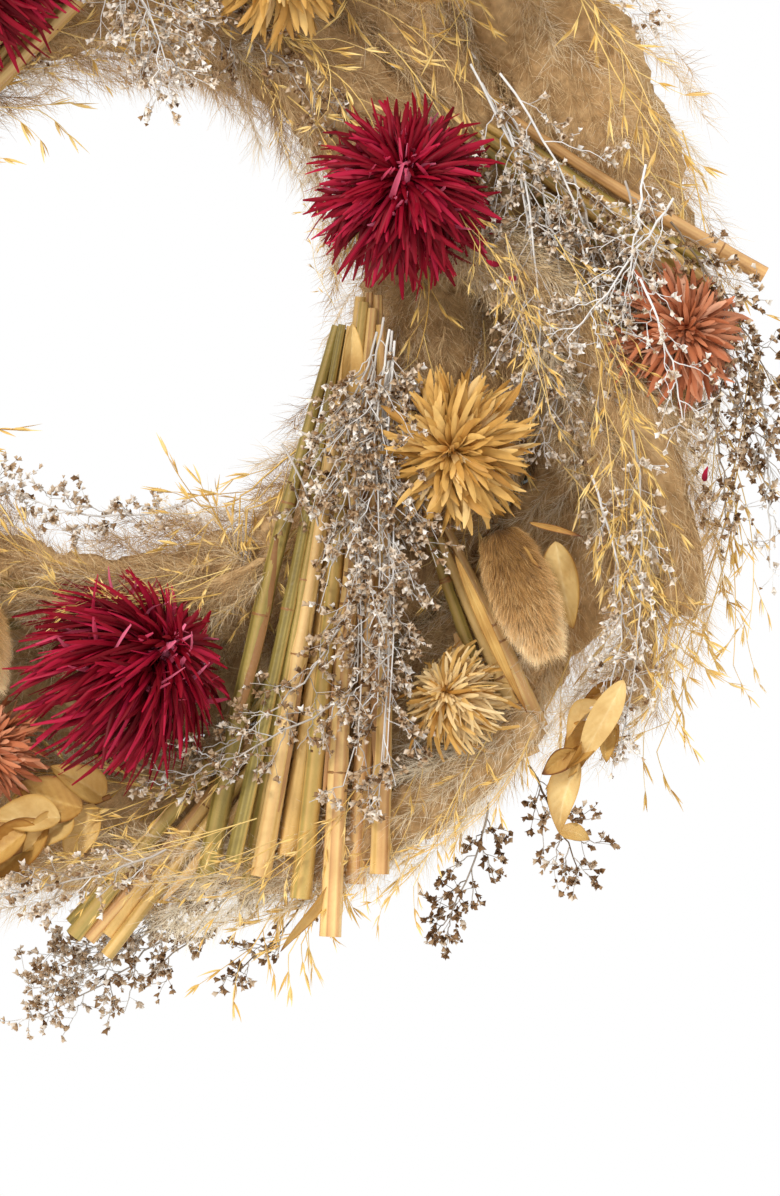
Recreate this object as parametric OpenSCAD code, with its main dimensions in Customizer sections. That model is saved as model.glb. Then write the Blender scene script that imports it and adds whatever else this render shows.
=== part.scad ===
// Harvest door wreath: dried flowers, straw, seed sprays and plumes laid on a wire wreath frame.
// The wreath stands upright in XZ, its back faces +Y and its flowers face -Y.
// The origin is where the door hook bears, at the inside top of the hanging loop.
// Places on the wreath are given as a radius and an angle about its centre. The angle runs
// from +X towards +Z, so 90 is the top of the wreath.

/* [Wreath] */
// Height of the hook above the centre of the wreath
hang_drop = 180; // [175:1:190]
// Radius of the middle of the inner row of plumes
inner_row_r = 98; // [96:1:100]
// Radius of the middle of the outer row of plumes
outer_row_r = 163; // [160:1:166]

/* [Wire frame] */
// Radius of the innermost frame ring
frame_inner_r = 108; // [104:1:112]
// Radius of the outermost frame ring
frame_outer_r = 158; // [154:1:164]
// Radius of the frame wire
frame_wire_r = 1.4; // [1:0.1:1.8]
// Radius of the cross wires
cross_wire_r = 1; // [0.8:0.1:1.2]
// Depth of the trough between the outer rings and the middle rings
trough_depth = 12; // [10:1:13]

/* [Hanging loop] */
// Radius of the loop's wire
loop_wire_r = 1; // [0.8:0.1:1.2]
// Distance between the loop's two eyes
loop_w = 18; // [14:1:20]
// Clearance between an eye and the frame ring
eye_clearance = 0.5; // [0.3:0.1:0.8]

/* [Core] */
// Radius of the bundle of stems that fills the trough
core_r = 7.5; // [6:0.5:7.5]
// Number of turns of binding wire round the core
binding_turns = 24; // [12:12:24]

/* [Straw] */
// Radius of one straw
straw_r = 2.3; // [2:0.1:2.4]

/* [Hidden] */
// Rings of the frame, from the opening outwards
core_mid_r = (frame_inner_r + frame_outer_r) / 2;
mid_ring_offset = 9;
mid_inner_r = core_mid_r - mid_ring_offset;
mid_outer_r = core_mid_r + mid_ring_offset;
front_ring_y = -trough_depth;
cross_wires = 12;
cross_wire_start = 15;

// Core and its binding
core_y = -3 - core_r;
binding_gap = 0.3;
binding_wire_r = 0.4;
binding_back_y = frame_wire_r + binding_gap;
binding_front_y = core_y - core_r - binding_gap;
binding_start = 7.5;

// Layers from the back to the front
plume_back_y = -22.5;
plume_half_t = 13.75;
plume_y = plume_back_y - plume_half_t;
stem_y = -20.6;
stem_r = 0.8;
straw_step = 2 * straw_r + 0.6;
straw_y = plume_y - plume_half_t - straw_r - 0.9;
head_back_y = straw_y - straw_r - 0.9;

// Plumes: half width, angle that one plume spans and where the first one starts
inner_plumes = 5;
outer_plumes = 6;
inner_half_w = 27;
outer_half_w = 33;
plume_gap_angle = 1.2;
inner_start = -72;
outer_start = -100;

// Straw bundles: start radius and angle, end radius and angle, first layer, rows, straws in a
// row, spacing at the start and spacing at the end
straw_bundles = [
    [77, -6, 193, -74, 1, 2, 5, 5, 12],
    [128, -61, 200, -92, 0, 1, 5, 5.3, 6.5],
    [132, 23.6, 202, -1.7, 0, 1, 5, 5.3, 6.8],
    [128, -36, 190, -47, 0, 1, 3, 5.3, 6],
    [78, 138, 195, 72, 0, 2, 5, 5.3, 7.5],
    [78, 212, 196, 146, 0, 2, 5, 5.3, 7.5],
    [100, 250, 197, 212, 0, 1, 6, 5.3, 7.5]
];

// Flower heads: angle and radius of the middle, half width, height, rows of straw underneath
magenta_flowers = [
    [20.3, 98, 29, 40, 0],
    [-87, 116, 33, 43, 0],
    [112, 112, 31, 41, 1],
    [196, 106, 31, 41, 1]
];
yellow_flowers = [
    [-23.7, 118, 26, 30, 2],
    [-49, 165, 20, 24, 0],
    [64, 118, 25, 28, 0],
    [152, 160, 23, 27, 1],
    [232, 118, 22, 26, 0]
];
rust_flowers = [
    [-3.5, 178, 22, 27, 0],
    [-104.5, 145, 15.5, 23, 0],
    [88, 165, 21, 26, 1],
    [176, 158, 21, 26, 1]
];

// Bunny tails: angle and radius of the middle, direction it points in, length, radius, depth
bunny_tails = [
    [-35.3, 159, -68, 47, 14, -72],
    [-110.7, 113.3, -80, 36, 11.5, -69],
    [44, 152, 20, 45, 13, -70],
    [130, 168, 110, 45, 13, -70]
];
tail_stalk_gap = 1.2;

// Leaf clusters: angle and radius of the twig's base, direction of the twig, first leaf's depth
leaf_clusters = [
    [-91, 159, -156, -58],
    [-41, 196, -110, -46],
    [50, 176, 60, -57.5],
    [222, 168, 160, -57.5]
];

// Seed sprays: start radius and angle, end radius and angle, depth, half width, half
// thickness, curl
caspia_sprays = [
    [78, -8, 172, -66, -73, 9, 3, 3],
    [138, 30, 147, -17, -60, 9, 3, 1],
    [67, -66, 67, -126, -40, 3, 6, 1],
    [176, -78, 214, -96, -16, 9, 4, 1],
    [80, 74, 150, 104, -73, 9, 3, 1],
    [84, 158, 196, 166, -73, 9, 3, 1],
    [100, 218, 198, 214, -73, 9, 3, 1]
];
spikelet_sprays = [
    [140, -18, 205, -30, -60, 8, 2.5, 1],
    [203, -8, 214, -38, -40, 7, 6, 1],
    [170, -62, 204, -78, -54, 8, 2, 1],
    [150, 70, 204, 62, -58, 8, 2, 1],
    [150, 188, 206, 168, -58, 8, 2, 1]
];

SINGLE_NODES = [
    "frame_ring_inner", "frame_ring_mid_inner", "frame_ring_mid_outer", "frame_ring_outer",
    "frame_cross_wires", "hanging_loop", "binding_wire", "stem_core", "flower_stems"
];

// ---------- geometry helpers ----------

function polar(r, a, y) = [r * cos(a), y, r * sin(a)];

module at_centre() {
    translate([0, 0, -hang_drop]) children();
}

// Round rod from one point to another
module rod(p, q, r) {
    v = q - p;
    turn = atan2(v[1], v[0]);
    tip = acos(v[2] / norm(v));
    translate(p) rotate([0, tip, turn]) cylinder(h = norm(v), r = r, $fn = 24);
}

// Wire ring about the wreath's axis
module wire_ring(ring_r, y, wire_r) {
    translate([0, y, 0])
        rotate([90, 0, 0])
            rotate_extrude($fn = 96)
                translate([ring_r, 0]) circle(r = wire_r, $fn = 24);
}

// Share of the full section at a share s of the length: blunt ends, full in the middle
function fullness(s) = pow(sin(180 * (0.04 + 0.92 * s)), 0.5);

// Closed soft body that sweeps round the wreath. Every section lies in a plane through the
// wreath's axis. A curl above 1 keeps the radius near its start value for longer.
module swept(r0, a0, r1, a1, y, half_w, half_t, curl = 1, sections = 11, sides = 12) {
    points = [
        for (i = [0:sections - 1], j = [0:sides - 1])
            let (s = i / (sections - 1), f = fullness(s), t = 360 * j / sides)
                polar(r0 + (r1 - r0) * pow(s, curl) + half_w * f * cos(t),
                      a0 + (a1 - a0) * s,
                      y + half_t * f * sin(t))
    ];
    skin = [
        for (i = [0:sections - 2], j = [0:sides - 1], half = [0, 1])
            let (p = i * sides + j, q = i * sides + (j + 1) % sides)
                half == 0 ? [p, p + sides, q] : [q, p + sides, q + sides]
    ];
    start_cap = [[for (j = [0:sides - 1]) j]];
    end_cap = [[for (j = [0:sides - 1]) sections * sides - 1 - j]];
    faces = concat(skin, start_cap, end_cap);
    polyhedron(points = points, faces = a1 > a0 ? faces : [for (f = faces) reverse(f)]);
}

function reverse(list) = [for (i = [len(list) - 1:-1:0]) list[i]];

// ---------- frame, core and binding ----------

module frame_ring_inner() {
    color("dimgray") at_centre() wire_ring(frame_inner_r, front_ring_y, frame_wire_r);
}

module frame_ring_mid_inner() {
    color("dimgray") at_centre() wire_ring(mid_inner_r, 0, frame_wire_r);
}

module frame_ring_mid_outer() {
    color("dimgray") at_centre() wire_ring(mid_outer_r, 0, frame_wire_r);
}

module frame_ring_outer() {
    color("dimgray") at_centre() wire_ring(frame_outer_r, front_ring_y, frame_wire_r);
}

// Bent wires welded across the four rings
module frame_cross_wires() {
    color("dimgray") at_centre()
        for (i = [0:cross_wires - 1]) {
            a = cross_wire_start + 360 * i / cross_wires;
            stations = [
                polar(frame_inner_r, a, front_ring_y),
                polar(mid_inner_r, a, 0),
                polar(mid_outer_r, a, 0),
                polar(frame_outer_r, a, front_ring_y)
            ];
            for (k = [0:2]) {
                along = (stations[k + 1] - stations[k]) / norm(stations[k + 1] - stations[k]);
                lap = 0.4 * cross_wire_r * along;
                rod(stations[k] - lap, stations[k + 1] + lap, cross_wire_r);
            }
        }
}

// Wire bail whose two eyes turn on the mid outer ring; its inside top is the origin
module hanging_loop() {
    bend_r = loop_w / 2;
    bend_z = -(bend_r - loop_wire_r);
    eye_r = frame_wire_r + eye_clearance + loop_wire_r;
    eye_z = -hang_drop + sqrt(mid_outer_r * mid_outer_r - bend_r * bend_r);
    color("silver") {
        translate([0, 0, bend_z])
            rotate([90, 0, 0])
                rotate_extrude(angle = 180, $fn = 48)
                    translate([bend_r, 0]) circle(r = loop_wire_r, $fn = 24);
        for (x = [-bend_r, bend_r]) {
            rod([x, 0, eye_z + eye_r], [x, 0, bend_z], loop_wire_r);
            translate([x, 0, eye_z])
                rotate([0, 90, 0])
                    rotate_extrude($fn = 48)
                        translate([eye_r, 0]) circle(r = loop_wire_r, $fn = 24);
        }
    }
}

// Outline of one turn of binding wire, across the frame in x and from back to front in y.
// It bends tightly round the mid rings at the back and widely round the core at the front.
function turn_outline(grow) =
    let (tight = frame_wire_r + binding_gap + grow, wide = 7 + grow, steps = 4)
    let (x = mid_ring_offset + frame_wire_r + binding_gap + grow)
    let (back = binding_back_y + grow, front = binding_front_y - grow)
    [
        for (k = [0:3], i = [0:steps])
            let (corner = k < 2 ? tight : wide, a = 90 * k + 90 * i / steps)
            let (cx = (k == 0 || k == 3) ? x - corner : corner - x)
            let (cy = k < 2 ? back - corner : front + corner)
                [cx + corner * cos(a), cy + corner * sin(a)]
    ];

module binding_wire() {
    color("darkslategray") at_centre()
        for (i = [0:binding_turns - 1])
            rotate([0, -(binding_start + 360 * i / binding_turns), 0])
                translate([core_mid_r, 0, 0])
                    linear_extrude(2 * binding_wire_r, center = true)
                        difference() {
                            polygon(turn_outline(2 * binding_wire_r));
                            polygon(turn_outline(0));
                        }
}

module stem_core() {
    color("peru") at_centre() wire_ring(core_mid_r, core_y, core_r);
}

// ---------- plumes ----------

module plume(start, count, i, mid_r, half_w) {
    span = 360 / count;
    a0 = start + span * i + plume_gap_angle;
    color("tan") at_centre()
        swept(mid_r, a0, mid_r, a0 + span - 2 * plume_gap_angle, plume_y, half_w, plume_half_t);
}

module plume_inner(i) {
    plume(inner_start, inner_plumes, i, inner_row_r, inner_half_w);
}

module plume_outer(i) {
    plume(outer_start, outer_plumes, i, outer_row_r, outer_half_w);
}

// ---------- straw ----------

// Fan of straws that crosses the wreath from its opening to its rim
module straw_bundle(b) {
    start = polar(b[0], b[1], 0);
    end = polar(b[2], b[3], 0);
    along = (end - start) / norm(end - start);
    across = [-along[2], 0, along[0]];
    color("goldenrod") at_centre()
        for (row = [0:b[5] - 1], i = [0:b[6] - 1]) {
            place = i - (b[6] - 1) / 2 + row / 2;
            uneven = 9 * sin(97 * i + 140 * row);
            depth = [0, straw_y - straw_step * (b[4] + row), 0];
            rod(start + across * place * b[7] + depth,
                end + across * place * b[8] + along * uneven + depth,
                straw_r);
        }
}

// ---------- flowers ----------

// Round head in three tiers of petals, flat at the back
function head_outline(r, h) = [
    [0, 0], [0.5 * r, 0], [0.86 * r, 0.14 * h], [r, 0.34 * h], [0.97 * r, 0.5 * h],
    [0.84 * r, 0.56 * h], [0.8 * r, 0.72 * h], [0.62 * r, 0.78 * h], [0.52 * r, 0.92 * h],
    [0.26 * r, h], [0, 0.96 * h]
];

function head_place(f) = polar(f[1], f[0], head_back_y - f[4] * straw_step);

module flower_head(f) {
    at_centre()
        translate(head_place(f))
            rotate([90, 0, 0])
                rotate_extrude($fn = 48) polygon(head_outline(f[2], f[3]));
}

module magenta_flower(i) {
    color("crimson") flower_head(magenta_flowers[i]);
}

module yellow_flower(i) {
    color("burlywood") flower_head(yellow_flowers[i]);
}

module rust_flower(i) {
    color("sienna") flower_head(rust_flowers[i]);
}

// Middle of a bunny tail's foot, where its stalk starts
function tail_foot(t) =
    let (reach = t[3] / 2 + tail_stalk_gap)
        polar(t[1], t[0], t[5]) - reach * [cos(t[2]), 0, sin(t[2])];

// Stalk that runs straight back through the plumes, then along them to the core
module stalk(top) {
    far = norm([top[0], top[2]]);
    bend = [top[0], stem_y, top[2]];
    foot = [top[0] * core_mid_r / far, stem_y, top[2] * core_mid_r / far];
    rod(top, bend, stem_r);
    translate(bend) sphere(r = stem_r, $fn = 24);
    if (norm(foot - bend) > 1) rod(bend, foot, stem_r);
}

module flower_stems() {
    color("olive") at_centre() {
        for (f = concat(magenta_flowers, yellow_flowers, rust_flowers))
            stalk(head_place(f) + [0, 0.05, 0]);
        for (t = bunny_tails) stalk(tail_foot(t));
    }
}

// ---------- bunny tails and leaves ----------

function tail_outline(length, r) = [
    for (i = [0:10])
        let (s = i / 10)
            [i == 0 || i == 10 ? 0 : r * pow(sin(180 * pow(s, 0.85)), 0.6), length * s]
];

// Furry seed head that points along its own direction
module bunny_tail(t) {
    color("wheat") at_centre()
        translate(polar(t[1], t[0], t[5]))
            rotate([0, 90 - t[2], 0])
                translate([0, 0, -t[3] / 2])
                    rotate_extrude($fn = 32) polygon(tail_outline(t[3], t[4]));
}

function leaf_outline(length, half_w) = [
    for (side = [1, -1], i = [0:7])
        let (s = side > 0 ? i / 8 : 1 - i / 8)
            [length * s, side * half_w * pow(sin(180 * s), 0.8)]
];

// Twig with alternate leaves, each leaf a step further forward than the last
module leaf_cluster(c) {
    twig = 34;
    leaves = 5;
    leaf_length = 24;
    leaf_half_w = 9;
    color("khaki") at_centre()
        translate(polar(c[1], c[0], c[3]))
            rotate([0, -c[2], 0]) {
                rod([0, 0, 0], [twig, 0, 0], 0.9);
                for (i = [0:leaves - 1])
                    translate([twig * (i + 1) / leaves, -0.5 * i, 0])
                        rotate([90, i == leaves - 1 ? 0 : (i % 2 == 0 ? 48 : -48), 0])
                            linear_extrude(1.1, center = true)
                                polygon(leaf_outline(leaf_length - 2 * (i % 3), leaf_half_w));
            }
}

// ---------- sprays ----------

module spray(s) {
    at_centre()
        swept(s[0], s[1], s[2], s[3], s[4], s[5], s[6], curl = s[7], sections = 9, sides = 8);
}

module caspia_spray(s) {
    color("gainsboro") spray(s);
}

module spikelet_spray(s) {
    color("gold") spray(s);
}

// ---------- the assembly ----------

frame_ring_inner();
frame_ring_mid_inner();
frame_ring_mid_outer();
frame_ring_outer();
frame_cross_wires();
hanging_loop();
binding_wire();
stem_core();
flower_stems();
for (i = [0:inner_plumes - 1])
    plume_inner(i);
for (i = [0:outer_plumes - 1])
    plume_outer(i);
for (i = [0:len(straw_bundles) - 1])
    straw_bundle(straw_bundles[i]);
for (i = [0:len(magenta_flowers) - 1])
    magenta_flower(i);
for (i = [0:len(yellow_flowers) - 1])
    yellow_flower(i);
for (i = [0:len(rust_flowers) - 1])
    rust_flower(i);
for (i = [0:len(bunny_tails) - 1])
    bunny_tail(bunny_tails[i]);
for (i = [0:len(leaf_clusters) - 1])
    leaf_cluster(leaf_clusters[i]);
for (i = [0:len(caspia_sprays) - 1])
    caspia_spray(caspia_sprays[i]);
for (i = [0:len(spikelet_sprays) - 1])
    spikelet_spray(spikelet_sprays[i]);
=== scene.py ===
"""Harvest door wreath: the looks of the dried plants and wires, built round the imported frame.

Builder functions work in millimetres from the centre of the wreath, with the flowers facing -Y.
A place on the wreath is a radius and an angle: 0 is the right side and 90 is the top. Plants are
laid clockwise as seen from the front, so their tips lie at lower angles than their roots.
"""
import math

import bpy
import numpy as np
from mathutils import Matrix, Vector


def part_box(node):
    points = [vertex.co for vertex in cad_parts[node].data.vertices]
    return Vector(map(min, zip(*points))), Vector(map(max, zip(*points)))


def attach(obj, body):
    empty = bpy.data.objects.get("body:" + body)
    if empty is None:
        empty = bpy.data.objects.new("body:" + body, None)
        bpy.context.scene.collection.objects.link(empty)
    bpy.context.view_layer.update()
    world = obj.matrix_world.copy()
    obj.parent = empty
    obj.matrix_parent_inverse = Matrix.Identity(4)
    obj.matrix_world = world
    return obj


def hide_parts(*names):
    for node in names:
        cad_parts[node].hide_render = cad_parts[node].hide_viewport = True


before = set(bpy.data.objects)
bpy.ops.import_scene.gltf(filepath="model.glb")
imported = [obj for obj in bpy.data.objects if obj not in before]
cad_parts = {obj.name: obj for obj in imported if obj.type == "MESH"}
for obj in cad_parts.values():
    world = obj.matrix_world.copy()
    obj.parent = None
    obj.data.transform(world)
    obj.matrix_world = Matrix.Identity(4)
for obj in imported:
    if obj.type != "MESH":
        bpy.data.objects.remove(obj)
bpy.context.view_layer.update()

MM = 0.001
FRONT = np.array([0.0, -1.0, 0.0])
DOWN = np.array([0.0, 0.0, -1.0])
GOLDEN_ANGLE = math.pi * (3 - math.sqrt(5))


def wreath_centre():
    """Centre of the frame's outer ring, in metres, in the plane of the hanging loop."""
    low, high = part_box("frame_ring_outer")
    return np.array([(low.x + high.x) / 2, 0.0, (low.z + high.z) / 2])


CENTRE = wreath_centre()


def node_box(name):
    """A CAD node's lowest and highest corners, in millimetres from the wreath's centre."""
    low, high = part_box(name)
    return (np.array(low) - CENTRE) / MM, (np.array(high) - CENTRE) / MM


def node_points(name):
    """A CAD node's vertices, in millimetres from the wreath's centre."""
    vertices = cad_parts[name].data.vertices
    co = np.zeros(len(vertices) * 3)
    vertices.foreach_get("co", co)
    return (co.reshape(-1, 3) - CENTRE) / MM


# ---------- small geometry helpers ----------

def unit(v):
    return v / np.maximum(np.linalg.norm(v, axis=-1, keepdims=True), 1e-9)


def polar(radius, degrees, y):
    """Points in the wreath from arrays of radius, angle and depth."""
    a = np.radians(degrees)
    return np.stack(np.broadcast_arrays(radius * np.cos(a), y, radius * np.sin(a)), axis=-1)


def bezier(p0, p1, p2, steps):
    """Quadratic curves between rows of points: (n, steps, 3)."""
    t = np.linspace(0, 1, steps)[None, :, None]
    return (1 - t) ** 2 * p0[:, None] + 2 * t * (1 - t) * p1[:, None] + t ** 2 * p2[:, None]


def shares(paths):
    """Shares 0 to 1 along paths (n, k, 3), to set beside their points."""
    return np.linspace(0, 1, paths.shape[1])[None, :, None]


def tangents(paths):
    return unit(np.gradient(paths, axis=1))


def random_units(rng, *shape):
    return unit(rng.normal(size=(*shape, 3)))


def random_sides(headings, rng, steps):
    """A random sideways direction for each heading, the same at every step."""
    return unit(np.cross(headings, random_units(rng, len(headings))))[:, None].repeat(steps, 1)


def each(count, values):
    """One row of values, repeated for each of several strands."""
    return np.tile(values, (count, 1))


def heading_axes(degrees):
    """Unit vectors ahead of and aside from a heading in the wreath's plane."""
    turn = math.radians(degrees)
    ahead = np.array([math.cos(turn), 0.0, math.sin(turn)])
    return ahead, np.array([-ahead[2], 0.0, ahead[0]])


def resample(path, share):
    """Points and tangents at shares 0 to 1 of one path (k, 3)."""
    place = np.clip(share, 0, 1) * (len(path) - 1)
    i = np.minimum(place.astype(int), len(path) - 2)
    f = (place - i)[:, None]
    return path[i] * (1 - f) + path[i + 1] * f, unit(path[i + 1] - path[i])


def add_object(name, data):
    """Makes an object from its data and links it into the scene."""
    obj = bpy.data.objects.new(name, data)
    bpy.context.scene.collection.objects.link(obj)
    return obj


class Shape:
    """Grids of vertices gathered in millimetres, which become one mesh object."""

    def __init__(self):
        self.verts, self.quads, self.uvs, self.count = [], [], [], 0

    def grids(self, points, u, v, closed=False):
        """Adds n grids of k by m points. A closed grid joins its last column to its first."""
        n, k, m, _ = points.shape
        first = (np.arange(n)[:, None, None] * k + np.arange(k - 1)[None, :, None]) * m
        column = np.arange(m if closed else m - 1)[None, None, :]
        beside = (column + 1) % m
        quads = np.stack(
            [first + column, first + beside, first + m + beside, first + m + column], axis=-1
        )
        self.verts.append(points.reshape(-1, 3))
        self.quads.append(quads.reshape(-1, 4) + self.count)
        uv = np.stack(np.broadcast_arrays(u, v, np.zeros((n, k, m)))[:2], axis=-1)
        self.uvs.append(uv.reshape(-1, 2))
        self.count += n * k * m

    def ribbons(self, paths, sides, half_widths, u):
        """Flat strips along paths (n, k, 3). u is one number for each strip."""
        offset = sides * half_widths[..., None]
        points = np.stack([paths - offset, paths + offset], axis=2)
        v = shares(paths)
        self.grids(points, u[:, None, None], v)

    def tubes(self, paths, radii, u, sides=5, streaks=None):
        """Round tubes along paths (n, k, 3) with radii (n, k). Streaks shift the shade of each
        side, and flute the tube a little."""
        along = tangents(paths)
        across = unit(np.cross(along, np.array([0.31, 0.87, 0.39])))
        up = np.cross(along, across)
        a = np.arange(sides) * 2 * math.pi / sides
        streaks = np.zeros(sides) if streaks is None else streaks
        r = radii[..., None, None] * (1 + 0.4 * streaks)[None, None, :, None]
        ring = across[:, :, None] * np.cos(a)[:, None] + up[:, :, None] * np.sin(a)[:, None]
        v = shares(paths)
        shade = np.clip(u[:, None, None] + streaks, 0.01, 0.99)
        self.grids(paths[:, :, None] + ring * r, shade, v, closed=True)

    def petals(self, paths, faces, half_widths, u, cup=0.25, columns=3):
        """Curved petals along paths (n, k, 3) that face one way and cup across their width."""
        side = unit(np.cross(tangents(paths), faces))
        out = unit(np.cross(side, tangents(paths)))
        c = np.linspace(-1, 1, columns)[None, None, :, None]
        w = half_widths[..., None, None]
        points = paths[:, :, None] + side[:, :, None] * c * w
        points = points - out[:, :, None] * cup * w * c ** 2
        v = shares(paths)
        self.grids(points, u[:, None, None], v)

    def mesh(self, name, material):
        """One mesh of all the grids, in metres, with its OFBake layout."""
        co = np.concatenate(self.verts) * MM + CENTRE
        quads = np.concatenate(self.quads)
        uvs = np.concatenate(self.uvs)
        mesh = bpy.data.meshes.new(name)
        mesh.vertices.add(len(co))
        mesh.vertices.foreach_set("co", co.astype(np.float32).ravel())
        mesh.loops.add(quads.size)
        mesh.loops.foreach_set("vertex_index", quads.astype(np.int32).ravel())
        mesh.polygons.add(len(quads))
        mesh.polygons.foreach_set("loop_start", np.arange(0, quads.size, 4, dtype=np.int32))
        layer = mesh.uv_layers.new(name="OFBake")
        layer.data.foreach_set("uv", uvs[quads.ravel()].astype(np.float32).ravel())
        mesh.update(calc_edges=True)
        mesh.polygons.foreach_set("use_smooth", np.ones(len(quads), dtype=bool))
        mesh.materials.append(material)
        return mesh

    def piece(self, name, material, slot, nodes=()):
        """Makes the mesh object, rides it on the wreath and hides the CAD nodes it takes the place
        of.
        """
        obj = add_object(name, self.mesh(name, material))
        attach(obj, "wreath")
        if nodes:
            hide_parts(*nodes)


class Sweep:
    """A tapered body laid along the wreath: angle, radius, depth, half width and half
    thickness at even steps from its root to its tip."""

    def __init__(self, rows):
        self.rows = np.array(rows)
        self.length = np.linalg.norm(
            np.diff(polar(self.rows[:, 1], self.rows[:, 0], 0.0), axis=0), axis=1
        ).sum()

    def at(self, share):
        """The five measures at shares along the length. The angle runs on past both ends."""
        grid = np.linspace(0, 1, len(self.rows))
        values = [np.interp(share, grid, column) for column in self.rows.T]
        beyond = share - np.clip(share, 0, 1)
        values[0] = values[0] + beyond * (self.rows[-1, 0] - self.rows[0, 0])
        return values

    def place(self, share, turn, reach, least=0.0):
        """Points at a share of the length, a turn about the path and a share of the section.
        The section is never taken as less than a least share of its widest."""
        degrees, radius, y, w, t = self.at(share)
        w = np.maximum(w, least * self.rows[:, 3].max())
        t = np.maximum(t, least * self.rows[:, 4].max())
        return polar(radius + w * reach * np.cos(turn), degrees, y + t * reach * np.sin(turn))


def node_sweep(name):
    """The sweep of a CAD node, whose sections each lie at one angle."""
    points = node_points(name)
    degrees = np.degrees(np.arctan2(points[:, 2], points[:, 0]))
    middle = np.degrees(np.angle(np.exp(1j * np.radians(degrees)).mean()))
    degrees = np.round(middle + (degrees - middle + 180) % 360 - 180, 1)
    radius = np.hypot(points[:, 0], points[:, 2])
    rows = []
    for station in np.unique(degrees)[::-1]:
        here = degrees == station
        if here.sum() > 3:
            r, y = radius[here], points[here, 1]
            rows.append([station, (r.max() + r.min()) / 2, (y.max() + y.min()) / 2,
                         np.ptp(r) / 2, np.ptp(y) / 2])
    return Sweep(rows)


def strand_sweep(r0, a0, r1, a1, depth, half_width, half_depth):
    """A spindle-shaped sweep between two places on the wreath."""
    s = np.linspace(0, 1, 12)
    full = np.sqrt(np.sin(math.pi * (0.08 + 0.84 * s)))
    rows = [a0 + (a1 - a0) * s, r0 + (r1 - r0) * s, depth + 0 * s, half_width * full,
            half_depth * full]
    return Sweep(np.stack(rows, axis=1))


# ---------- materials ----------

def srgb(r, g, b):
    """Linear colour from 0 to 255 display values."""
    c = np.array([r, g, b]) / 255
    return (*np.where(c <= 0.04045, c / 12.92, ((c + 0.055) / 1.055) ** 2.4), 1.0)


def multiplier(level):
    """A number, or red, green and blue factors, as a colour."""
    rgb = level if isinstance(level, tuple) else (level,) * 3
    return (*rgb, 1.0)


def evenly(colours):
    """Colour ramp stops at even steps."""
    last = len(colours) - 1
    return [(i / last, colour) for i, colour in enumerate(colours)]


class Look:
    """A Principled material whose colour comes from ramps over the OFBake layout: u picks a
    shade for each strand and v runs from its root to its tip."""

    def __init__(self, name, roughness=0.75, specular=0.25, sheen=0.0):
        self.material = bpy.data.materials.new(name)
        self.material.use_nodes = True
        self.tree = self.material.node_tree
        self.shader = self.tree.nodes["Principled BSDF"]
        self.shader.inputs["Roughness"].default_value = roughness
        self.shader.inputs["Specular IOR Level"].default_value = specular
        self.shader.inputs["Sheen Weight"].default_value = sheen
        layout = self.node("ShaderNodeUVMap")
        layout.uv_map = "OFBake"
        self.split = self.node("ShaderNodeSeparateXYZ")
        self.link(layout.outputs["UV"], self.split.inputs[0])
        self.place = self.node("ShaderNodeTexCoord").outputs["Object"]
        self.colour = None

    def node(self, kind):
        return self.tree.nodes.new(kind)

    def link(self, a, b):
        self.tree.links.new(a, b)

    def ramp(self, source, stops):
        """Colour ramp with (position, colour) stops."""
        ramp = self.node("ShaderNodeValToRGB")
        elements = ramp.color_ramp.elements
        while len(elements) < len(stops):
            elements.new(0.5)
        for element, (position, colour) in zip(elements, stops):
            element.position = position
            element.color = colour
        self.link(source, ramp.inputs["Fac"])
        return ramp.outputs["Color"]

    def times(self, colour):
        """Multiplies what the colour is so far."""
        if self.colour is None:
            self.colour = colour
            return
        mix = self.node("ShaderNodeMix")
        mix.data_type = "RGBA"
        mix.blend_type = "MULTIPLY"
        mix.inputs["Factor"].default_value = 1.0
        self.link(self.colour, mix.inputs["A"])
        self.link(colour, mix.inputs["B"])
        self.colour = mix.outputs["Result"]

    def shades(self, *colours):
        """Evenly spaced shades over u."""
        self.times(self.ramp(self.split.outputs["X"], evenly([srgb(*c) for c in colours])))
        return self

    def along(self, *levels):
        """Evenly spaced brightness over v. A level is a number or a colour multiplier."""
        stops = evenly([multiplier(level) for level in levels])
        self.times(self.ramp(self.split.outputs["Y"], stops))
        return self

    def noise(self, scale, detail=3.0):
        """Noise over space."""
        noise = self.node("ShaderNodeTexNoise")
        noise.inputs["Scale"].default_value = scale
        noise.inputs["Detail"].default_value = detail
        self.link(self.place, noise.inputs["Vector"])
        return noise.outputs["Fac"]

    def patches(self, scale, dark, light, detail=3.0):
        """Patches that run from a dark to a light multiplier."""
        stops = [(0.32, multiplier(dark)), (0.68, multiplier(light))]
        self.times(self.ramp(self.noise(scale, detail), stops))
        return self

    def bump(self, scale, height, detail=3.0):
        bump = self.node("ShaderNodeBump")
        bump.inputs["Strength"].default_value = 1.0
        bump.inputs["Distance"].default_value = height
        self.link(self.noise(scale, detail), bump.inputs["Height"])
        self.link(bump.outputs["Normal"], self.shader.inputs["Normal"])
        return self

    def done(self):
        self.link(self.colour, self.shader.inputs["Base Color"])
        return self.material


def plume_look():
    look = Look("plume_hair", roughness=0.85, specular=0.1, sheen=0.1)
    look.shades((158, 122, 78), (210, 174, 124), (236, 206, 158), (246, 226, 188), (252, 242, 220))
    return look.along(0.82, 0.98, 1.04).patches(26, (0.84, 0.79, 0.72), (1.05, 1.04, 1.02)).done()


def plume_core_look():
    look = Look("plume_core", roughness=0.95, specular=0.05)
    # The core is coloured darker than most of the hair, as painted shade deep in the gaps between
    # the tufts.
    look.shades((184, 148, 102), (216, 182, 134))
    look.patches(26, (0.85, 0.8, 0.75), (1.05, 1.04, 1.02)).patches(420, 0.72, 1.06, 6)
    return look.bump(700, 0.0008, 6).done()


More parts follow.
